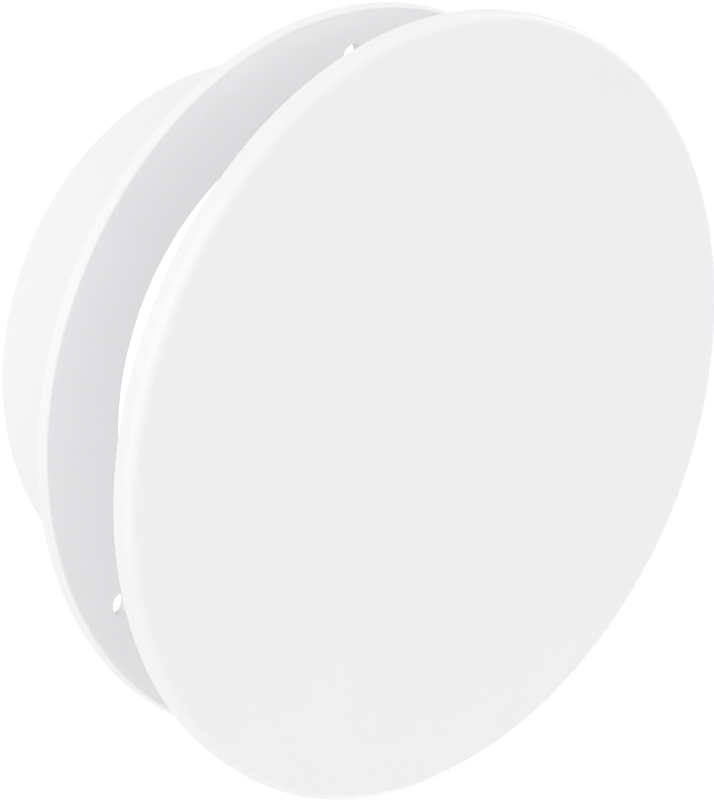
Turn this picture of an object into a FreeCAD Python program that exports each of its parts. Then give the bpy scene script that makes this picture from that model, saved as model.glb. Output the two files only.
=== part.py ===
import FreeCAD, Part
import math
import os
import re
import Sketcher

# Round air outlet for a 125 mm duct: a flat disc on a threaded spindle, held off a dished flange
# The collar goes into the duct, the flange stands on the wall round it, and the room is towards -Y.
# Origin: the duct's axis where it meets the wall plane. +Y runs into the duct, +Z is up.
# All lengths are in millimetres and all angles in degrees.

SIZES = (
    # The collar that slides into the duct
    ("collar_radius", 62.0),
    ("collar_length", 32.5),
    ("collar_wall", 2.4),
    ("collar_end_round", 0.8),
    ("shoulder_width", 1.5),
    # The flange: its front is a shallow dish from the edge of the bore up to the rim
    ("bore_inset", 3.0),
    ("bore_edge_round", 0.3),
    ("flange_root", 2.4),
    ("dish_curve", 42.0),
    ("seat_land", 3.2),
    ("flange_reach", 18.5),
    ("rim_inset", 0.8),
    ("rim_height", 10.6),
    ("rim_thickness", 2.8),
    ("rim_round", 0.5),
    # The screw holes, and behind the flange the broken ring and the gussets that stand on the wall
    ("screw_reach", 8.0),
    ("screw_count", 3.0),
    ("screw_hole_radius", 2.25),
    ("seat_height", 2.6),
    ("seat_ring_width", 1.6),
    ("seat_ring_height", 5.3),
    ("seat_ring_arc", 100.0),
    ("rim_gusset_count", 9.0),
    ("rim_gusset_width", 1.4),
    ("rim_gusset_foot", 1.6),
    ("rim_gusset_inset", 3.5),
    ("rim_gusset_sink", 1.0),
    # The three arms and the hub in the collar
    ("hub_radius", 10.0),
    ("hub_length", 10.0),
    ("hub_chamfer", 0.8),
    ("arm_count", 3.0),
    ("arm_width", 3.0),
    ("arm_depth", 8.0),
    ("arm_inset", 1.0),
    ("arm_overlap", 1.2),
    ("arm_round", 1.1),
    ("arm_root_round", 2.0),
    # The rubber ring that seals the flange to the wall
    ("gasket_gap", 0.2),
    ("gasket_width", 2.6),
    ("gasket_play", 0.05),
    # The front disc, a flat moulding with a skirt and ribs behind it
    ("air_gap", 25.3),
    ("closed_gap", 1.3),
    ("disc_radius", 83.0),
    ("disc_thickness", 4.9),
    ("disc_wall", 2.2),
    ("disc_skirt", 2.4),
    ("disc_front_round", 2.1),
    ("disc_back_round", 0.4),
    ("disc_rib_count", 8.0),
    ("disc_rib_width", 1.6),
    ("rib_overlap", 1.0),
    ("disc_ring_radius", 46.0),
    ("disc_boss_radius", 10.0),
    ("disc_boss_height", 8.0),
    ("disc_boss_chamfer", 0.8),
    ("gusset_drop", 1.5),
    # The threaded spindle and its brass inserts
    ("spindle_radius", 4.0),
    ("spindle_chamfer", 0.9),
    ("spindle_end_gap", 0.4),
    ("spindle_past_stop", 1.8),
    ("thread_play", 0.05),
    ("insert_radius", 6.0),
    ("insert_play", 0.02),
    ("insert_depth", 8.3),
    ("insert_groove_depth", 0.5),
    ("insert_groove_width", 1.6),
    ("insert_chamfer", 0.4),
    # The nuts and washers on the spindle
    ("nut_width", 13.0),
    ("lock_nut_height", 6.5),
    ("thin_nut_height", 4.0),
    ("nut_face_share", 0.95),
    ("nut_corner_angle", 30.0),
    ("nut_cut_past", 1.0),
    ("nut_clearance", 1.025),
    ("washer_radius", 8.0),
    ("washer_hole_radius", 4.2),
    ("washer_thickness", 1.6),
    ("stop_gap", 5.4),
)
NAMES = {name for name, value in SIZES}
FULL_TURN = 360
NUT_SIDES = 6
CLOSE = 0.0001

doc = FreeCAD.newDocument("round_air_outlet")
sheet = doc.addObject("Spreadsheet::Sheet", "Sizes")
for row, (name, value) in enumerate(SIZES, start=1):
    sheet.set(f"A{row}", name)
    sheet.set(f"B{row}", str(value))
    sheet.setAlias(f"B{row}", name)
doc.recompute()


def formula(text):
    """The text as an expression, with each size's name pointing at its cell."""

    def pointed(word):
        return f"Sizes.{word[0]}" if word[0] in NAMES else word[0]

    return re.sub(r"[a-z_]+", pointed, str(text))


def number(text):
    """What the formula comes to now."""
    value = sheet.evalExpression(formula(text))
    return float(getattr(value, "Value", value))


def near(length, text):
    """Whether a length is the one that the formula gives."""
    return abs(length - number(text)) < CLOSE


def bind(feature, **formulas):
    """Tie the feature's properties to formulas. A double underscore stands for a dot."""
    for key, text in formulas.items():
        feature.setExpression(key.replace("__", "."), formula(text))


def new_body(label):
    """An empty body. Its label is the name of the sub-part."""
    body = doc.addObject("PartDesign::Body", label)
    body.Label = label
    return body


def origin_part(body, role):
    """The body's own origin plane or axis of this role."""
    return next(part for part in body.Origin.OriginFeatures if part.Role == role)


def new_sketch(body, name, plane, distance="0"):
    """A sketch flat on an origin plane, moved along the plane's normal by a formula."""
    sketch = body.newObject("Sketcher::SketchObject", name)
    sketch.AttachmentSupport = (origin_part(body, plane), "")
    sketch.MapMode = "FlatFace"
    bind(sketch, AttachmentOffset__Base__z=distance)
    return sketch


def constrain(sketch, rules):
    """Add the rules, each a kind, what it holds and a formula or None, and solve once."""
    made = []
    for kind, held, text in rules:
        size = () if text is None else (number(text),)
        made.append(Sketcher.Constraint(kind, *held, *size))
    spots = sketch.addConstraint(made)
    for spot, (kind, held, text) in zip(spots, rules):
        if text is not None:
            sketch.setExpression(f"Constraints[{spot}]", formula(text))


def held_at(geometry, end, corner):
    """Rules that hold one end of an edge at a corner, two formulas from the sketch's origin."""
    held = (-1, 1, geometry, end)
    return [("DistanceX", held, corner[0]), ("DistanceY", held, corner[1])]


def arc_between(start, end, radius):
    """An arc under a half turn, run anticlockwise, and which of its ends, 1 or 2, is the start. A
    positive radius bulges to the right of the way from start to end."""
    chord = end - start
    side = FreeCAD.Vector(chord.y, -chord.x, 0).normalize() * math.copysign(1, radius)
    centre = start + chord / 2 - side * math.sqrt(radius**2 - (chord.Length / 2) ** 2)
    turns = [math.atan2(point.y - centre.y, point.x - centre.x) for point in (start, end)]
    if radius < 0:
        turns.reverse()
    if turns[1] < turns[0]:
        turns[1] += 2 * math.pi
    arc = Part.ArcOfCircle(Part.Circle(centre, FreeCAD.Vector(0, 0, 1), abs(radius)), *turns)
    return arc, 1 if radius > 0 else 2


def outline(sketch, corners, arcs=None):
    """A closed outline through the corners. arcs gives the radius of the edge that leaves a corner,
    by the corner's place in the list: positive bulges to the right of the way the outline runs."""
    points = [FreeCAD.Vector(number(x), number(y), 0) for x, y in corners]
    first = sketch.GeometryCount
    count = len(points)
    edges, starts, rules = [], [], []
    for i, start in enumerate(points):
        end = points[(i + 1) % count]
        if arcs and i in arcs:
            edge, start_end = arc_between(start, end, number(arcs[i]))
            rules.append(("Radius", (first + i,), f"abs({arcs[i]})"))
        else:
            edge, start_end = Part.LineSegment(start, end), 1
        edges.append(edge)
        starts.append(start_end)
    sketch.addGeometry(edges, False)
    for i, corner in enumerate(corners):
        before = (i - 1) % count
        joined = (first + before, 3 - starts[before], first + i, starts[i])
        rules.append(("Coincident", joined, None))
        rules += held_at(first + i, starts[i], corner)
    constrain(sketch, rules)


def circle(sketch, radius, centre=("0", "0")):
    """A circle with its radius and centre given as formulas."""
    middle = FreeCAD.Vector(number(centre[0]), number(centre[1]), 0)
    ring = sketch.addGeometry(Part.Circle(middle, FreeCAD.Vector(0, 0, 1), number(radius)), False)
    constrain(sketch, held_at(ring, 3, centre) + [("Radius", (ring,), radius)])


def revolved(body, name, sketch):
    """The sketch's outline taken right round the Y axis."""
    feature = body.newObject("PartDesign::Revolution", name)
    feature.Profile = sketch
    feature.ReferenceAxis = (sketch, ["V_Axis"])
    feature.Angle = FULL_TURN
    doc.recompute()
    return feature


def turned(body, name, corners, arcs=None):
    """A solid turned about the Y axis from half of its section, as radius and height pairs."""
    sketch = new_sketch(body, f"{name}_section", "XY_Plane")
    outline(sketch, corners, arcs)
    return revolved(body, name, sketch)


def grooved(body, name, corners):
    """A ring cut away about the Y axis. The cut has to make the body smaller."""
    before = body.Shape.Volume
    sketch = new_sketch(body, f"{name}_section", "XY_Plane")
    outline(sketch, corners)
    feature = body.newObject("PartDesign::Groove", name)
    feature.Profile = sketch
    feature.ReferenceAxis = (sketch, ["V_Axis"])
    feature.Angle = FULL_TURN
    doc.recompute()
    if not body.Shape.Volume < before:
        raise RuntimeError(f"{name} cuts nothing")
    return feature


def padded(body, name, sketch, length, both_ways=False):
    """The sketch's outline pushed along its normal, or half each way."""
    feature = body.newObject("PartDesign::Pad", name)
    feature.Profile = sketch
    feature.Midplane = both_ways
    bind(feature, Length=length)
    doc.recompute()
    return feature


def cut_through(body, name, sketch):
    """The sketch's outline cut right through the body, both ways."""
    before = body.Shape.Volume
    feature = body.newObject("PartDesign::Pocket", name)
    feature.Profile = sketch
    feature.Type = "ThroughAll"
    feature.Midplane = True
    doc.recompute()
    if not body.Shape.Volume < before:
        raise RuntimeError(f"{name} cuts nothing")
    return feature


def around(body, name, feature, count):
    """The feature repeated evenly round the Y axis."""
    pattern = body.newObject("PartDesign::PolarPattern", name)
    pattern.Originals = [feature]
    pattern.Axis = (origin_part(body, "Y_Axis"), [""])
    pattern.Angle = FULL_TURN
    bind(pattern, Occurrences=count)
    body.Tip = pattern
    doc.recompute()
    return pattern


def rounded(body, name, radius, wanted, kind="Fillet"):
    """Round or bevel the body's edges for which wanted(edge) is true."""
    base = body.Tip
    edges = [f"Edge{i}" for i, edge in enumerate(base.Shape.Edges, start=1) if wanted(edge)]
    if not edges:
        raise RuntimeError(f"{name} finds no edge")
    feature = body.newObject(f"PartDesign::{kind}", name)
    feature.Base = (base, edges)
    bind(feature, **{"Radius" if kind == "Fillet" else "Size": radius})
    doc.recompute()
    if feature.Shape.isNull():
        raise RuntimeError(f"{name} can't be made")
    return feature


def ring_edge(radius, height):
    """A test for the circular edge round the Y axis of this radius at this height."""

    def wanted(edge):
        curve = edge.Curve
        if not isinstance(curve, Part.Circle):
            return False
        centred = near(math.hypot(curve.Center.x, curve.Center.z), "0")
        return centred and near(curve.Radius, radius) and near(curve.Center.y, height)

    return wanted


# Housing
# One moulding: the collar, the dished flange, what stands on the wall behind it, and the arms and
# hub that carry the spindle.
housing = new_body("housing")

BORE_RADIUS = "(collar_radius - bore_inset)"
RIM_RADIUS = "(collar_radius + flange_reach)"
RIM_FRONT_RADIUS = f"{RIM_RADIUS} - rim_inset"
RIM_BACK = "-(rim_height - rim_thickness)"
BORE_EDGE = "-(seat_height + flange_root)"
SHOULDER = "collar_radius + shoulder_width"
COLLAR_INSIDE = "collar_radius - collar_wall"
turned(
    housing,
    "shell",
    (
        (BORE_RADIUS, BORE_EDGE),
        (RIM_FRONT_RADIUS, "-rim_height"),
        (RIM_RADIUS, RIM_BACK),
        ("collar_radius + seat_land", "-seat_height"),
        (SHOULDER, "-seat_height"),
        (SHOULDER, "0"),
        ("collar_radius", "0"),
        ("collar_radius", "collar_length"),
        (COLLAR_INSIDE, "collar_length"),
    ),
    {0: "-dish_curve"},
)
rounded(housing, "rim_front_edge", "rim_round", ring_edge(RIM_FRONT_RADIUS, "-rim_height"))
rounded(housing, "rim_back_edge", "rim_round", ring_edge(RIM_RADIUS, RIM_BACK))
rounded(housing, "bore_edge", "bore_edge_round", ring_edge(BORE_RADIUS, BORE_EDGE))
rounded(housing, "collar_end", "collar_end_round", ring_edge("collar_radius", "collar_length"))

# Where it meets the wall of the room, the housing stands on a round wall. It is broken at each screw
# hole, so its three parts and the gussets are spread from midway between two of the holes. Their
# front ends are sunk in the flange.
SCREW_CIRCLE = "(collar_radius + screw_reach)"
SEAT_INSIDE = f"{SCREW_CIRCLE} - seat_ring_width / 2"
SEAT_OUTSIDE = f"{SCREW_CIRCLE} + seat_ring_width / 2"


def between_holes(sketch):
    """Turn a sketch on the XY plane about the Y axis, to midway between two screw holes."""
    upright = FreeCAD.Rotation(FreeCAD.Vector(0, 1, 0), number("180 / screw_count - 90"))
    sketch.AttachmentOffset = FreeCAD.Placement(FreeCAD.Vector(0, 0, 0), upright)
    bind(sketch, AttachmentOffset__Rotation__Angle="180 / screw_count - 90")


seat_sketch = new_sketch(housing, "seat_ring_section", "XY_Plane")
between_holes(seat_sketch)
outline(
    seat_sketch,
    (
        (SEAT_INSIDE, "0"),
        (SEAT_INSIDE, "-seat_ring_height"),
        (SEAT_OUTSIDE, "-seat_ring_height"),
        (SEAT_OUTSIDE, "0"),
    ),
)
seat_ring = revolved(housing, "seat_ring", seat_sketch)
seat_ring.Midplane = True
bind(seat_ring, Angle="seat_ring_arc")
around(housing, "seat_rings", seat_ring, "screw_count")

# Gussets run from the seat ring up the back of the flange and end short of the rim
gusset_sketch = new_sketch(housing, "rim_gusset_outline", "XY_Plane")
between_holes(gusset_sketch)
outline(
    gusset_sketch,
    (
        (SCREW_CIRCLE, "0"),
        (f"{SCREW_CIRCLE} + rim_gusset_foot", "0"),
        (f"{RIM_RADIUS} - rim_gusset_inset", f"{RIM_BACK} + rim_gusset_sink"),
        (SCREW_CIRCLE, "-seat_ring_height"),
    ),
)
gusset = padded(housing, "rim_gusset", gusset_sketch, "rim_gusset_width", both_ways=True)
around(housing, "rim_gussets", gusset, "rim_gusset_count")

hole_sketch = new_sketch(housing, "screw_hole_outline", "XZ_Plane")
circle(hole_sketch, "screw_hole_radius", ("0", SCREW_CIRCLE))
hole = cut_through(housing, "screw_hole", hole_sketch)
around(housing, "screw_holes", hole, "screw_count")

# The hub is a short tube round the brass insert. Its place follows from the closed disc: the disc
# stops a small gap short of the rim, and its nut a small gap short of the nut in front of the hub.
CLOSED_NUT_BACK = "-(rim_height + closed_gap) + disc_boss_height + washer_thickness + thin_nut_height"
HUB_FRONT = f"{CLOSED_NUT_BACK} + nut_clearance + lock_nut_height + washer_thickness"
HUB_BACK = f"{HUB_FRONT} + hub_length"
turned(
    housing,
    "hub",
    (
        ("insert_radius + insert_play", HUB_FRONT),
        ("hub_radius - hub_chamfer", HUB_FRONT),
        ("hub_radius", f"{HUB_FRONT} + hub_chamfer"),
        ("hub_radius", f"{HUB_BACK} - hub_chamfer"),
        ("hub_radius - hub_chamfer", HUB_BACK),
        ("insert_radius + insert_play", HUB_BACK),
    ),
)

# Three flat arms, edge on to the air, carry the hub
ARM_BACK = f"{HUB_BACK} - arm_inset"
ARM_FRONT = f"{ARM_BACK} - arm_depth"
arm_sketch = new_sketch(housing, "arm_outline", "XZ_Plane", f"-({ARM_BACK})")
outline(
    arm_sketch,
    (
        ("-arm_width / 2", "hub_radius - arm_overlap"),
        ("arm_width / 2", "hub_radius - arm_overlap"),
        ("arm_width / 2", f"{BORE_RADIUS} + arm_overlap"),
        ("-arm_width / 2", f"{BORE_RADIUS} + arm_overlap"),
    ),
)
arm = padded(housing, "arm", arm_sketch, "arm_depth")
around(housing, "arms", arm, "arm_count")


def arm_nose(edge):
    """A long edge of an arm, on the side that meets the air or the side that it leaves."""
    heights = [vertex.Point.y for vertex in edge.Vertexes]
    faces = (ARM_FRONT, ARM_BACK)
    level = any(all(near(height, face) for height in heights) for face in faces)
    return level and isinstance(edge.Curve, Part.Line)


def arm_root(edge):
    """An edge where an arm's flat side meets the hub or the collar."""
    heights = [vertex.Point.y for vertex in edge.Vertexes]
    return near(max(heights) - min(heights), "arm_depth - 2 * arm_round")


rounded(housing, "arm_noses", "arm_round", arm_nose)
rounded(housing, "arm_roots", "arm_root_round", arm_root)

# Wall gasket
# A square ring of soft rubber round the collar's shoulder. It fills the space between the flange
# and the wall, so that no air passes there.
gasket = new_body("wall_gasket")
GASKET_INSIDE = f"{SHOULDER} + gasket_gap"
GASKET_OUTSIDE = f"{GASKET_INSIDE} + gasket_width"
turned(
    gasket,
    "ring",
    (
        (GASKET_INSIDE, "0"),
        (GASKET_OUTSIDE, "0"),
        (GASKET_OUTSIDE, "-(seat_height - gasket_play)"),
        (GASKET_INSIDE, "-(seat_height - gasket_play)"),
    ),
)

# Front disc
# A flat moulding: a thin face with a rounded edge, a skirt behind it, ribs and a ring that keep it
# flat, and a boss for the brass insert. Its own zero is the back of the skirt.
disc = new_body("front_disc")
DISC_PLACE = "-(rim_height + air_gap)"
FACE_BACK = "-(disc_thickness - disc_wall)"
SKIRT_INSIDE = "disc_radius - disc_skirt"
RING_INSIDE = "disc_ring_radius - disc_rib_width"
BOSS_END = "disc_boss_height"
turned(
    disc,
    "face",
    (
        ("0", "-disc_thickness"),
        ("disc_radius", "-disc_thickness"),
        ("disc_radius", "0"),
        (SKIRT_INSIDE, "0"),
        (SKIRT_INSIDE, FACE_BACK),
        ("disc_ring_radius", FACE_BACK),
        ("disc_ring_radius", "0"),
        (RING_INSIDE, "0"),
        (RING_INSIDE, FACE_BACK),
        ("disc_boss_radius", FACE_BACK),
        ("disc_boss_radius", BOSS_END),
        ("insert_radius + insert_play", BOSS_END),
        ("insert_radius + insert_play", f"{BOSS_END} - insert_depth"),
        ("0", f"{BOSS_END} - insert_depth"),
    ),
)
rounded(disc, "front_edge", "disc_front_round", ring_edge("disc_radius", "-disc_thickness"))
rounded(disc, "back_edge", "disc_back_round", ring_edge("disc_radius", "0"))
rounded(disc, "boss_edge", "disc_boss_chamfer", ring_edge("disc_boss_radius", BOSS_END), "Chamfer")

# Each rib runs from the boss to the skirt, and stands taller as a gusset inside the ring
disc_rib_sketch = new_sketch(disc, "disc_rib_outline", "XY_Plane")
outline(
    disc_rib_sketch,
    (
        ("disc_boss_radius - rib_overlap", FACE_BACK),
        (f"{SKIRT_INSIDE} + rib_overlap", FACE_BACK),
        (f"{SKIRT_INSIDE} + rib_overlap", "0"),
        ("disc_ring_radius", "0"),
        ("disc_boss_radius - rib_overlap", f"{BOSS_END} - gusset_drop"),
    ),
)
disc_rib = padded(disc, "disc_rib", disc_rib_sketch, "disc_rib_width", both_ways=True)
around(disc, "disc_ribs", disc_rib, "disc_rib_count")
bind(disc, Placement__Base__y=DISC_PLACE)


def bushing(label, length, place):
    """A brass threaded insert with a groove round its middle that the plastic grips."""
    body = new_body(label)
    bore = "spindle_radius + thread_play"
    groove_front = f"({length} - insert_groove_width) / 2"
    groove_back = f"({length} + insert_groove_width) / 2"
    turned(
        body,
        f"{label}_tube",
        (
            (bore, "0"),
            ("insert_radius", "0"),
            ("insert_radius", length),
            (bore, length),
        ),
    )
    rounded(body, f"{label}_front_edge", "insert_chamfer", ring_edge("insert_radius", "0"), "Chamfer")
    rounded(body, f"{label}_back_edge", "insert_chamfer", ring_edge("insert_radius", length), "Chamfer")
    grooved(
        body,
        f"{label}_groove",
        (
            ("insert_radius - insert_groove_depth", groove_front),
            ("insert_radius + insert_groove_depth", groove_front),
            ("insert_radius + insert_groove_depth", groove_back),
            ("insert_radius - insert_groove_depth", groove_back),
        ),
    )
    bind(body, Placement__Base__y=place)
    return body


# Threaded inserts
# Two brass bushes, one pressed into the hub and one into the boss behind the disc.
BOSS_FACE = f"{DISC_PLACE} + {BOSS_END}"
SPINDLE_FRONT = f"{BOSS_FACE} - insert_depth + spindle_end_gap"
bushing("hub_insert", "hub_length", HUB_FRONT)
bushing("disc_insert", "insert_depth - spindle_end_gap", SPINDLE_FRONT)

# Nuts and washers
# On the disc's side a washer and a thin nut lock the spindle to the boss. On the hub's side a nut
# and a washer lock the spindle to the hub once the disc is set, and a thin nut behind the hub stops
# the spindle from coming out.
LOCK_NUT_BACK = f"{HUB_FRONT} - washer_thickness"


def hex_nut(label, height, place):
    """A hexagon nut with the corners of both faces turned down to a cone."""
    body = new_body(label)
    sketch = new_sketch(body, f"{label}_outline", "XZ_Plane", f"-({height})")
    step = FULL_TURN / NUT_SIDES
    corner = f"nut_width / 2 / cos({step / 2} deg)"
    turns = [step * side for side in range(NUT_SIDES)]
    outline(sketch, [(f"{corner} * cos({turn} deg)", f"{corner} * sin({turn} deg)") for turn in turns])
    circle(sketch, "spindle_radius + thread_play")
    padded(body, f"{label}_hexagon", sketch, height)
    flat = "nut_width / 2 * nut_face_share"
    far = f"{corner} + nut_cut_past"
    drop = f"({far} - {flat}) * tan(nut_corner_angle)"
    for name, face, way in (("front", "0", "+"), ("back", height, "-")):
        grooved(
            body,
            f"{label}_{name}_cone",
            ((flat, face), (far, face), (far, f"{face} {way} {drop}")),
        )
    bind(body, Placement__Base__y=place)
    return body


def washer(label, place):
    """A plain flat washer."""
    body = new_body(label)
    turned(
        body,
        f"{label}_ring",
        (
            ("washer_hole_radius", "0"),
            ("washer_radius", "0"),
            ("washer_radius", "washer_thickness"),
            ("washer_hole_radius", "washer_thickness"),
        ),
    )
    bind(body, Placement__Base__y=place)
    return body


washer("disc_washer", BOSS_FACE)
hex_nut("disc_nut", "thin_nut_height", f"{BOSS_FACE} + washer_thickness")
washer("hub_washer", LOCK_NUT_BACK)
hex_nut("lock_nut", "lock_nut_height", f"{LOCK_NUT_BACK} - lock_nut_height")
hex_nut("stop_nut", "thin_nut_height", f"{HUB_BACK} + stop_gap")

# Spindle
# A plain rod here: its M8 thread is too fine for the solid. It ends just short of the blind end of
# the boss, and passes the stop nut by a thread or two.
spindle = new_body("spindle")
SPINDLE_BACK = f"{HUB_BACK} + stop_gap + thin_nut_height + spindle_past_stop"
SPINDLE_LENGTH = f"{SPINDLE_BACK} - ({SPINDLE_FRONT})"
turned(
    spindle,
    "rod",
    (("0", "0"), ("spindle_radius", "0"), ("spindle_radius", SPINDLE_LENGTH), ("0", SPINDLE_LENGTH)),
)
rounded(spindle, "rod_front", "spindle_chamfer", ring_edge("spindle_radius", "0"), "Chamfer")
rounded(spindle, "rod_back", "spindle_chamfer", ring_edge("spindle_radius", SPINDLE_LENGTH), "Chamfer")
bind(spindle, Placement__Base__y=SPINDLE_FRONT)

doc.recompute()

bodies = [item for item in doc.Objects if item.TypeId == "PartDesign::Body"]
for item in doc.Objects:
    if "Invalid" in item.State or "Error" in item.State:
        raise RuntimeError(f"{item.Label} failed: {item.State}")
for body in bodies:
    if body.Shape.isNull() or not body.Shape.isValid() or len(body.Shape.Solids) != 1:
        raise RuntimeError(f"{body.Label} isn't one valid solid")

os.makedirs("parts", exist_ok=True)
for body in bodies:
    body.Shape.exportStep(f"parts/{body.Label}.step")
    low, high = body.Shape.BoundBox.YMin, body.Shape.BoundBox.YMax
    print(f"{body.Label}: {body.Shape.Volume / 1000:.2f} cm3, along Y {low:.2f} to {high:.2f}")
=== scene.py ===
import math

import bmesh
import bpy
import numpy as np
from mathutils import Matrix, Vector


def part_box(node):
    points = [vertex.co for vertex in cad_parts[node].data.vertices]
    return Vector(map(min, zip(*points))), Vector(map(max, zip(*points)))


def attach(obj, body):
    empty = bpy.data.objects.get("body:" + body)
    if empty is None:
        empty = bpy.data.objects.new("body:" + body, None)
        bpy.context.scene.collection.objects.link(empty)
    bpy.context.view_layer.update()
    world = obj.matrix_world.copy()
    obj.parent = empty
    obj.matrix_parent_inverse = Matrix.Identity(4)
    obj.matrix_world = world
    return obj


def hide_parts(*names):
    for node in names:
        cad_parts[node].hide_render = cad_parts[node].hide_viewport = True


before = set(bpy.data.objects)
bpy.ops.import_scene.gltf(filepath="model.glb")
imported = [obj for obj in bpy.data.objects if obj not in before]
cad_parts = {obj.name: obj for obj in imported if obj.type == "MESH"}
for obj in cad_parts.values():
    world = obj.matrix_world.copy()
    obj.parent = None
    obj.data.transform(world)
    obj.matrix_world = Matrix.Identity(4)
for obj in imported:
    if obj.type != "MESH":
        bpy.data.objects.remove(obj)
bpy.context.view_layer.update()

# Camera
# It looks from the left and a little above, with the outlet large in the frame. The outlet was
# turned a little on its own axis when it was photographed, so the camera leans by as much. Its
# place is in metres and its angles are in degrees.
CAMERA_PLACE = (-0.29025, -0.32676, 0.15508)
CAMERA_AZIMUTH = -42.505
CAMERA_ELEVATION = 20.325
CAMERA_ROLL = 1.108
LENS_MM = 96.22
SENSOR_MM = 36.0
NEAR_CLIP = 0.01

lens = bpy.data.cameras.new("camera")
lens.lens = LENS_MM
lens.sensor_width = SENSOR_MM
lens.clip_start = NEAR_CLIP
camera = bpy.data.objects.new("camera", lens)
turns = (("Z", CAMERA_AZIMUTH), ("X", 90 - CAMERA_ELEVATION), ("Z", CAMERA_ROLL))
camera.matrix_world = Matrix.Translation(CAMERA_PLACE)
for axis, angle in turns:
    camera.matrix_world = camera.matrix_world @ Matrix.Rotation(math.radians(angle), 4, axis)
bpy.context.scene.collection.objects.link(camera)
bpy.context.scene.camera = camera

# Housing and front disc
# The housing goes into the duct and is screwed to the wall, and the disc closes it. Each is one
# moulding of white ABS, and both keep the shape that the CAD gives them.


def linear(text):
    """An opaque colour written as sRGB hex, turned to linear by the formula of sRGB."""
    channels = [int(text[at : at + 2], 16) / 255 for at in (0, 2, 4)]
    return *(c / 12.92 if c <= 0.04045 else ((c + 0.055) / 1.055) ** 2.4 for c in channels), 1.0


def add(tree, kind, *links, **settings):
    """Add a node. A link is an output socket with the name or number of the input that it goes to,
    and a setting is the value of a property or of an input."""
    node = tree.nodes.new(kind)
    for name, value in settings.items():
        if name in node.bl_rna.properties:
            setattr(node, name, value)
        else:
            node.inputs[name.replace("_", " ")].default_value = value
    for source, target in links:
        tree.links.new(source, node.inputs[target])
    return node


def new_material(name):
    """An empty material: itself, its node tree and the object's own coordinates in metres."""
    material = bpy.data.materials.new(name)
    material.use_nodes = True
    tree = material.node_tree
    tree.nodes.clear()
    place = add(tree, "ShaderNodeTexCoord").outputs["Object"]
    return material, tree, place


def finish_material(tree, shader):
    """Join the shader to the material's output."""
    add(tree, "ShaderNodeOutputMaterial", (shader.outputs[0], "Surface"))


# White ABS from polished moulds that were lightly blasted. It gives a wide, soft sheen that varies
# a little from place to place, over a tint that is even but for the flow of the plastic. The grain
# of the blasting is about 0.1 mm wide, too fine to show, so it is drawn coarser. Sizes of pieces
# and of finishes are in mm, and MM turns them to metres.
MM = 0.001
ABS_WHITE = linear("FAFAFB")
ABS_SHADE = linear("F7F7F8")
ABS_IOR = 1.53
ABS_ROUGHNESS = (0.40, 0.50)
ABS_FLOW_MM = 45
ABS_SHEEN_MM = 6
ABS_GRAIN_MM = 0.35
ABS_GRAIN_DEPTH_MM = 0.006

abs_white, tree, place = new_material("white_moulded_abs")
flow = add(
    tree,
    "ShaderNodeTexNoise",
    (place, "Vector"),
    Scale=1 / (ABS_FLOW_MM * MM),
    Detail=2.0,
)
tint = add(
    tree,
    "ShaderNodeMix",
    (flow.outputs["Fac"], "Factor"),
    data_type="RGBA",
    A=ABS_SHADE,
    B=ABS_WHITE,
)
sheen = add(
    tree,
    "ShaderNodeTexNoise",
    (place, "Vector"),
    Scale=1 / (ABS_SHEEN_MM * MM),
    Detail=4.0,
)
satin = add(
    tree,
    "ShaderNodeMapRange",
    (sheen.outputs["Fac"], "Value"),
    To_Min=ABS_ROUGHNESS[0],
    To_Max=ABS_ROUGHNESS[1],
)
grain = add(
    tree,
    "ShaderNodeTexNoise",
    (place, "Vector"),
    Scale=1 / (ABS_GRAIN_MM * MM),
    Detail=3.0,
)
relief = add(
    tree,
    "ShaderNodeBump",
    (grain.outputs["Fac"], "Height"),
    Distance=ABS_GRAIN_DEPTH_MM * MM,
)
shader = add(
    tree,
    "ShaderNodeBsdfPrincipled",
    (tint.outputs[2], "Base Color"),
    (satin.outputs[0], "Roughness"),
    (relief.outputs[0], "Normal"),
    IOR=ABS_IOR,
)
finish_material(tree, shader)


def dress(node, material):
    """Give a CAD node its material."""
    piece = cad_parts[node]
    piece.data.materials.clear()
    piece.data.materials.append(material)


dress("housing", abs_white)
dress("front_disc", abs_white)

# Wall gasket
# A ring of solid EPDM rubber, moulded with slightly rounded corners. It lies loose round the
# shoulder of the collar and is pressed between the flange and the wall.
MERGE_WITHIN = 0.001
SHARP_FROM = 30
CORNER_POINTS = 4


def ring_faces(columns, rows, shift=0):
    """Faces of a grid whose points run row by row in each column. The last column joins the first,
    whose rows start shift rows later, and with no shift the last row joins the first."""
    squares = rows - shift - 1 if shift else rows
    column, row = np.meshgrid(np.arange(columns), np.arange(squares), indexing="ij")
    after = (column + 1) % columns
    up = (row + 1) % rows
    here = column * rows
    there = after * rows + np.where(after == 0, shift, 0)
    corners = np.stack([here + row, here + up, there + up, there + row], axis=-1)
    return corners.reshape(-1, 4).tolist()


def build(name, points, faces, material, body, sharp_from=SHARP_FROM):
    """A piece from its points in mm and its faces, with a hard edge where two faces turn by more
    than sharp_from degrees. It takes the place of the CAD node of its name."""
    mesh = bpy.data.meshes.new(name)
    mesh.from_pydata((points * MM).tolist(), [], faces)
    work = bmesh.new()
    work.from_mesh(mesh)
    bmesh.ops.remove_doubles(work, verts=work.verts, dist=MERGE_WITHIN * MM)
    bmesh.ops.recalc_face_normals(work, faces=work.faces)
    work.to_mesh(mesh)
    work.free()
    mesh.shade_smooth()
    mesh.set_sharp_from_angle(angle=math.radians(sharp_from))
    mesh.materials.append(material)
    piece = bpy.data.objects.new(f"{name}_detailed", mesh)
    bpy.context.scene.collection.objects.link(piece)
    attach(piece, body)
    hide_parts(name)


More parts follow.
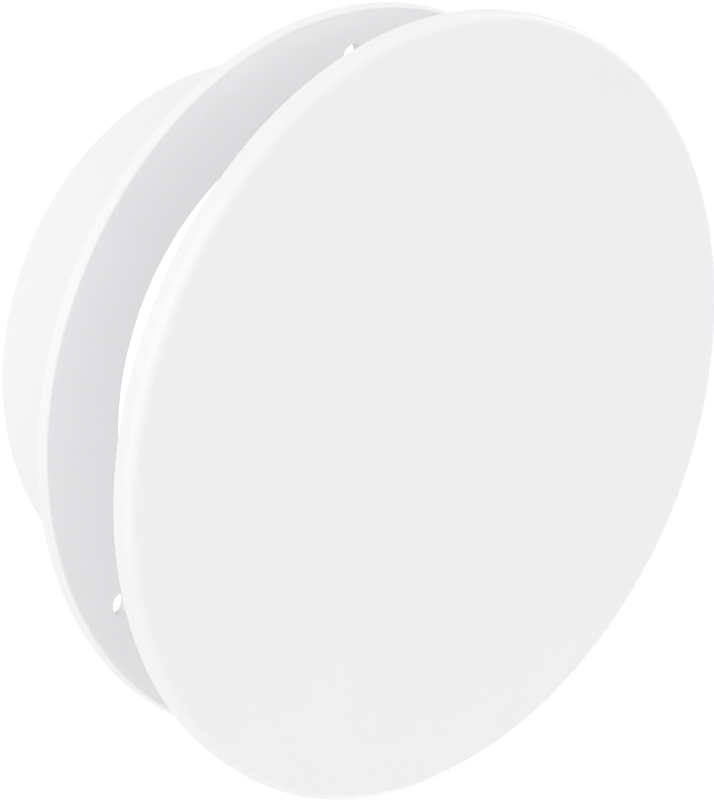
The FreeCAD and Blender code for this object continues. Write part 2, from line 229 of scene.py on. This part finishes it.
def turned(sections):
    """Points of a ring: sections gives, for each of its equal steps round the Y axis, the closed
    outline there as (radius, y) pairs. At angle a, x = radius cos a and z = radius sin a."""
    steps = len(sections)
    angle = np.arange(steps)[:, None] * 2 * math.pi / steps
    radius, y = sections[:, :, 0], sections[:, :, 1]
    return np.stack([radius * np.cos(angle), y, radius * np.sin(angle)], axis=-1).reshape(-1, 3)


def ends(node):
    """Where a CAD node starts and ends along Y and its outer radius, in mm."""
    low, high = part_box(node)
    return low[1] / MM, high[1] / MM, high[0] / MM


def rounded_sections(steps, inside, outside, front, back, round_by):
    """The same outline at each step round: a rectangle from one radius to another and from front to
    back. At each corner a quarter circle of points lies round_by from the arc's middle."""
    quarter = np.linspace(0, 90, CORNER_POINTS)
    turn = np.radians(np.array([180, 270, 0, 90])[:, None] + quarter)
    inner, outer = inside + round_by, outside - round_by
    near, far = front + round_by, back - round_by
    radius = np.array([inner, outer, outer, inner])[:, None] + round_by * np.cos(turn)
    y = np.array([near, near, far, far])[:, None] + round_by * np.sin(turn)
    outline = np.stack([radius, y], axis=-1).reshape(-1, 2)
    return np.tile(outline, (steps, 1, 1))


# EPDM rubber from a steel mould. It gives a dull near-black that is a little greyer in soft clouds,
# where bloom has come to the surface. Its grain is finer than 0.2 mm and is drawn coarser.
RUBBER = linear("2B2C2E")
RUBBER_BLOOMED = linear("38393B")
RUBBER_IOR = 1.52
RUBBER_ROUGHNESS = (0.62, 0.82)
RUBBER_BLOOM = (0.35, 0.75)
RUBBER_CLOUD_MM = 9
RUBBER_GRAIN_MM = 0.6
RUBBER_GRAIN_DEPTH_MM = 0.02

rubber_black, tree, place = new_material("black_epdm_rubber")
cloud = add(
    tree,
    "ShaderNodeTexNoise",
    (place, "Vector"),
    Scale=1 / (RUBBER_CLOUD_MM * MM),
    Detail=5.0,
)
bloom = add(
    tree,
    "ShaderNodeMapRange",
    (cloud.outputs["Fac"], "Value"),
    From_Min=RUBBER_BLOOM[0],
    From_Max=RUBBER_BLOOM[1],
)
tint = add(
    tree,
    "ShaderNodeMix",
    (bloom.outputs[0], "Factor"),
    data_type="RGBA",
    A=RUBBER,
    B=RUBBER_BLOOMED,
)
dull = add(
    tree,
    "ShaderNodeMapRange",
    (cloud.outputs["Fac"], "Value"),
    To_Min=RUBBER_ROUGHNESS[0],
    To_Max=RUBBER_ROUGHNESS[1],
)
grain = add(
    tree,
    "ShaderNodeTexNoise",
    (place, "Vector"),
    Scale=1 / (RUBBER_GRAIN_MM * MM),
    Detail=3.0,
)
relief = add(
    tree,
    "ShaderNodeBump",
    (grain.outputs["Fac"], "Height"),
    Distance=RUBBER_GRAIN_DEPTH_MM * MM,
)
shader = add(
    tree,
    "ShaderNodeBsdfPrincipled",
    (tint.outputs[2], "Base Color"),
    (dull.outputs[0], "Roughness"),
    (relief.outputs[0], "Normal"),
    IOR=RUBBER_IOR,
)
finish_material(tree, shader)

GASKET_STEPS = 288
GASKET_WIDTH = 2.6
GASKET_ROUND = 0.35
front, back, outside = ends("wall_gasket")
inside = outside - GASKET_WIDTH
sections = rounded_sections(GASKET_STEPS, inside, outside, front, back, GASKET_ROUND)
faces = ring_faces(GASKET_STEPS, sections.shape[1])
build("wall_gasket", turned(sections), faces, rubber_black, "housing")

# Threaded inserts
# Two bushes turned from brass bar, with a diamond knurl on both sides of a groove, and pressed into
# the plastic while it is warm, so that the knurl and the groove hold them.

# At a scale of 1 the wave texture has a band every 2 pi / 20 m. The tool's marks run round the Y
# axis, so the bands follow one another along it, and they waver a little.
WAVE_PERIOD = 2 * math.pi / 20
MARKS_WAVER = 0.6


def turned_metal(name, bright, dull, roughness, cloud_mm, marks_mm, marks_depth_mm):
    """Bare or plated metal: its tint and its roughness go from bright to dull in soft clouds, with
    the marks of a lathe over them."""
    metal, tree, place = new_material(name)
    cloud = add(
        tree,
        "ShaderNodeTexNoise",
        (place, "Vector"),
        Scale=1 / (cloud_mm * MM),
        Detail=4.0,
    )
    tint = add(
        tree,
        "ShaderNodeMix",
        (cloud.outputs["Fac"], "Factor"),
        data_type="RGBA",
        A=bright,
        B=dull,
    )
    satin = add(
        tree,
        "ShaderNodeMapRange",
        (cloud.outputs["Fac"], "Value"),
        To_Min=roughness[0],
        To_Max=roughness[1],
    )
    marks = add(
        tree,
        "ShaderNodeTexWave",
        (place, "Vector"),
        wave_type="BANDS",
        bands_direction="Y",
        Scale=WAVE_PERIOD / (marks_mm * MM),
        Distortion=MARKS_WAVER,
        Detail=2.0,
    )
    relief = add(
        tree,
        "ShaderNodeBump",
        (marks.outputs["Fac"], "Height"),
        Distance=marks_depth_mm * MM,
    )
    shader = add(
        tree,
        "ShaderNodeBsdfPrincipled",
        (tint.outputs[2], "Base Color"),
        (satin.outputs[0], "Roughness"),
        (relief.outputs[0], "Normal"),
        Metallic=1.0,
    )
    finish_material(tree, shader)
    return metal


# Brass turned from bar. It gives a warm yellow of medium gloss, with fine rings round the axis. The
# real rings are about 0.05 mm apart, too fine to show, so they are drawn coarser.
brass = turned_metal(
    "turned_brass",
    bright=linear("CDA75A"),
    dull=linear("B98F48"),
    roughness=(0.24, 0.36),
    cloud_mm=4,
    marks_mm=0.16,
    marks_depth_mm=0.003,
)

INSERT_STEPS = 160
INSERT_BORE = 4.05
INSERT_BEVEL = 0.4
INSERT_SINK = 0.3
GROOVE_WIDTH = 1.6
GROOVE_DEPTH = 0.5
KNURL_TEETH = 40
KNURL_DEPTH = 0.18
KNURL_ROWS = 14


def saw(turns):
    """0 at whole numbers, 1 halfway between them, and straight in between."""
    return 1 - abs(2 * (turns % 1) - 1)


def knurled(length, outside):
    """The outline of an insert at each step round. On its two lands the radius is less than the
    outside by the knurl's depth where one of two crossing sets of helical grooves is deepest: the
    grooves lie at whole numbers of teeth * turn +- teeth * y / circumference."""
    mouth = INSERT_BORE + INSERT_SINK
    edge = outside - INSERT_BEVEL
    waist = np.array([length - GROOVE_WIDTH, length + GROOVE_WIDTH]) / 2
    near_land = np.linspace(INSERT_BEVEL, waist[0], KNURL_ROWS)
    far_land = np.linspace(waist[1], length - INSERT_BEVEL, KNURL_ROWS)
    land = np.full(KNURL_ROWS, outside)
    groove = np.full(2, outside - GROOVE_DEPTH)
    near_face, far_face = [INSERT_BORE, mouth, edge], [edge, mouth, INSERT_BORE]
    radius = np.concatenate([near_face, land, groove, land, far_face])
    near_y, far_y = [INSERT_SINK, 0, 0], [length, length, length - INSERT_SINK]
    y = np.concatenate([near_y, near_land, waist, far_land, far_y])
    turn = KNURL_TEETH * np.arange(INSERT_STEPS)[:, None] / INSERT_STEPS
    along = KNURL_TEETH * y / (2 * math.pi * outside)
    ridge = np.minimum(saw(turn + along), saw(turn - along))
    radius = radius - np.where(radius == outside, KNURL_DEPTH * (1 - ridge), 0)
    return np.stack(np.broadcast_arrays(radius, y), axis=-1)


for node, body in (("hub_insert", "housing"), ("disc_insert", "disc")):
    front, back, outside = ends(node)
    sections = knurled(back - front, outside)
    sections[:, :, 1] += front
    faces = ring_faces(INSERT_STEPS, sections.shape[1])
    build(node, turned(sections), faces, brass, body)

# Washers and nuts
# Plain M8 washers stamped from steel sheet, and M8 nuts, the usual one in front of the hub and the
# thin ones beside the disc and behind the hub. All are steel with bright zinc plating.

# Steel with bright zinc plating. It gives a cool, pale grey shine, uneven in soft clouds, and the
# plating leaves only a trace of the tool's marks, which are drawn coarser than the real 0.1 mm.
zinc = turned_metal(
    "bright_zinc_plated_steel",
    bright=linear("CBCFD4"),
    dull=linear("B4B9C0"),
    roughness=(0.22, 0.36),
    cloud_mm=3,
    marks_mm=0.3,
    marks_depth_mm=0.002,
)

WASHER_STEPS = 128
WASHER_HOLE = 4.2
WASHER_ROUND = 0.22
for node, body in (("disc_washer", "disc"), ("hub_washer", "housing")):
    front, back, outside = ends(node)
    sections = rounded_sections(WASHER_STEPS, WASHER_HOLE, outside, front, back, WASHER_ROUND)
    faces = ring_faces(WASHER_STEPS, sections.shape[1])
    build(node, turned(sections), faces, zinc, body)

NUT_STEPS = 96
NUT_SIDES = 6
NUT_WIDTH = 13.0
NUT_FACE = 0.95
NUT_CONE = 30
NUT_BORE = 4.05
NUT_SINK = 0.45
NUT_EDGE = 0.12
NUT_SHARP_FROM = 18


def hexagon(height):
    """The outline of a nut at each step round. The sides lie at the half width over the cosine of
    the angle from the middle of the side, and a 30 degree cone from the face takes the corners off:
    there the side starts at (side's radius - face's radius) * tan 30. Both faces are alike."""
    side_turn = 2 * math.pi / NUT_SIDES
    slope = math.tan(math.radians(NUT_CONE))
    face = NUT_WIDTH / 2 * NUT_FACE
    mouth = NUT_BORE + NUT_SINK
    angle = 2 * math.pi * np.arange(NUT_STEPS) / NUT_STEPS
    side = NUT_WIDTH / 2 / np.cos(angle % side_turn - side_turn / 2)
    drop = (side - face) * slope
    bevel_in, bevel_out = face - NUT_EDGE, face + NUT_EDGE
    radius = np.broadcast_arrays(NUT_BORE, mouth, bevel_in, bevel_out, side - NUT_EDGE, side)
    y = np.broadcast_arrays(NUT_SINK, 0, 0, NUT_EDGE * slope, drop, drop + NUT_EDGE)
    near = np.stack([np.stack(radius, axis=-1), np.stack(y, axis=-1)], axis=-1)
    far = near[:, ::-1] * (1, -1) + (0, height)
    return np.concatenate([near, far], axis=1)


for node, body in (("disc_nut", "disc"), ("lock_nut", "housing"), ("stop_nut", "disc")):
    front, back = ends(node)[:2]
    sections = hexagon(back - front)
    sections[:, :, 1] += front
    faces = ring_faces(NUT_STEPS, sections.shape[1])
    build(node, turned(sections), faces, zinc, body, NUT_SHARP_FROM)

# Spindle
# A length of M8 stud with a rolled thread and bevelled ends, plated with bright zinc. It is locked
# to the disc, so it turns with it, and it moves 1.25 mm along the axis in each turn.
# In each pitch the thread has a crest, a flank, a root and a flank: the phases are where the crest
# and the root start and end, in pitches, and the height is 1 at the crest and 0 at the root.
THREAD_PITCH = 1.25
THREAD_STEPS = 64
THREAD_PHASES = (0, 1 / 8, 7 / 16, 11 / 16)
THREAD_HEIGHTS = (1, 1, 0, 0)
THREAD_DEPTH = 0.677
STUD_BEVEL = 0.9


def threaded(front, back, outside):
    """Points and faces of the stud. A column stands at each step round, and its points follow the
    thread's profile from turn to turn: y = pitch * (turns + phase + angle / one turn), with the
    radius of the crest or of the root. They end at the stud's ends, where a cone cuts them."""
    turns = math.ceil((back - front) / THREAD_PITCH) + 2
    phases = (np.arange(turns)[:, None] + THREAD_PHASES).ravel()
    heights = np.tile(THREAD_HEIGHTS, turns)
    angle = np.arange(THREAD_STEPS) * 2 * math.pi / THREAD_STEPS
    y = front - THREAD_PITCH + THREAD_PITCH * (phases[None, :] + angle[:, None] / (2 * math.pi))
    y = np.clip(y, front, back)
    radius = np.minimum(
        (outside - THREAD_DEPTH * (1 - heights))[None, :],
        outside - STUD_BEVEL + np.minimum(y - front, back - y),
    )
    x, z = radius * np.sin(angle)[:, None], radius * np.cos(angle)[:, None]
    points = np.stack([x, y, z], axis=-1).reshape(-1, 3)
    rows = len(phases)
    faces = ring_faces(THREAD_STEPS, rows, shift=len(THREAD_PHASES))
    caps = [(np.arange(THREAD_STEPS) * rows + row).tolist() for row in (0, rows - 1)]
    return points, faces + caps


front, back, outside = ends("spindle")
points, faces = threaded(front, back, outside)
build("spindle", points, faces, zinc, "disc")

# Floor, background and light
# A white floor lies well below the outlet, as if it hung in a white studio, and soft light comes
# from all round, a little more of it from the left. Two narrow lamps in the plane of the gap shine
# through it onto the dish. Places and sizes are in metres.
FLOOR_HEIGHT = -0.90
FLOOR_SIDE = 30.0
FLOOR_WHITE = linear("F2F2F2")
FLOOR_GLOW = 0.4
SKY_WHITE = linear("FFFFFF")
SKY_STRENGTH = 0.835
SKY_SEEN = 1.0

floor_mesh = bpy.data.meshes.new("floor")
half = FLOOR_SIDE / 2
floor_mesh.from_pydata(
    [(x, y, FLOOR_HEIGHT) for x, y in ((-half, -half), (half, -half), (half, half), (-half, half))],
    [],
    [(0, 1, 2, 3)],
)
floor = bpy.data.objects.new("floor", floor_mesh)
bpy.context.scene.collection.objects.link(floor)


def seen_directly(tree):
    """1 for a ray from the camera, or one off metal or through glass, and 0 for one that lights."""
    path = add(tree, "ShaderNodeLightPath").outputs
    seen = path["Is Camera Ray"]
    for ray in ("Is Glossy Ray", "Is Transmission Ray"):
        either = add(tree, "ShaderNodeMath", (seen, 0), (path[ray], 1), operation="MAXIMUM")
        seen = either.outputs[0]
    return seen


# White painted board. It is matt and takes the outlet's shadow, and a glow that is only seen, and
# lights nothing, brings it up to the white of the background.
floor_white, tree, place = new_material("floor_white_board")
matt = add(tree, "ShaderNodeBsdfDiffuse", Color=FLOOR_WHITE)
level = add(tree, "ShaderNodeMapRange", (seen_directly(tree), "Value"), To_Min=0.0, To_Max=FLOOR_GLOW)
glow = add(tree, "ShaderNodeEmission", (level.outputs[0], "Strength"))
both = add(tree, "ShaderNodeAddShader", (matt.outputs[0], 0), (glow.outputs[0], 1))
finish_material(tree, both)
floor_mesh.materials.append(floor_white)

# The sky is white where it is seen, and a little less bright where it lights the outlet.
world = bpy.data.worlds.new("studio")
world.use_nodes = True
tree = world.node_tree
tree.nodes.clear()
level = add(
    tree,
    "ShaderNodeMapRange",
    (seen_directly(tree), "Value"),
    To_Min=SKY_STRENGTH,
    To_Max=SKY_SEEN,
)
sky = add(tree, "ShaderNodeBackground", (level.outputs[0], "Strength"), Color=SKY_WHITE)
add(tree, "ShaderNodeOutputWorld", (sky.outputs[0], "Surface"))
bpy.context.scene.world = world

# Each lamp has its name, its place, the point that it faces, its width and height, and its watts.
MIDDLE = (0, 0, 0)
GAP_MIDDLE = (0, -0.01, 0)
NARROW = (0.09, 0.5)
LAMPS = (
    ("front_left_lamp", (-1.155, -0.809, 0.513), MIDDLE, (1.0, 1.0), 3.3),
    ("side_left_lamp", (-1.6, 0.1, 0.5), MIDDLE, (1.2, 1.2), 1.5),
    ("gap_under_lamp", (0.643, -0.08, -0.766), GAP_MIDDLE, NARROW, 1.6),
    ("gap_above_lamp", (0.906, -0.08, 0.423), GAP_MIDDLE, NARROW, 1.2),
)
for name, place, target, (width, height), watts in LAMPS:
    lamp = bpy.data.lights.new(name, "AREA")
    lamp.shape = "RECTANGLE"
    lamp.size = width
    lamp.size_y = height
    lamp.energy = watts
    holder = bpy.data.objects.new(name, lamp)
    aim = (Vector(target) - Vector(place)).to_track_quat("-Z", "Y")
    holder.matrix_world = Matrix.Translation(place) @ aim.to_matrix().to_4x4()
    bpy.context.scene.collection.objects.link(holder)

bpy.context.scene.view_settings.view_transform = "Standard"
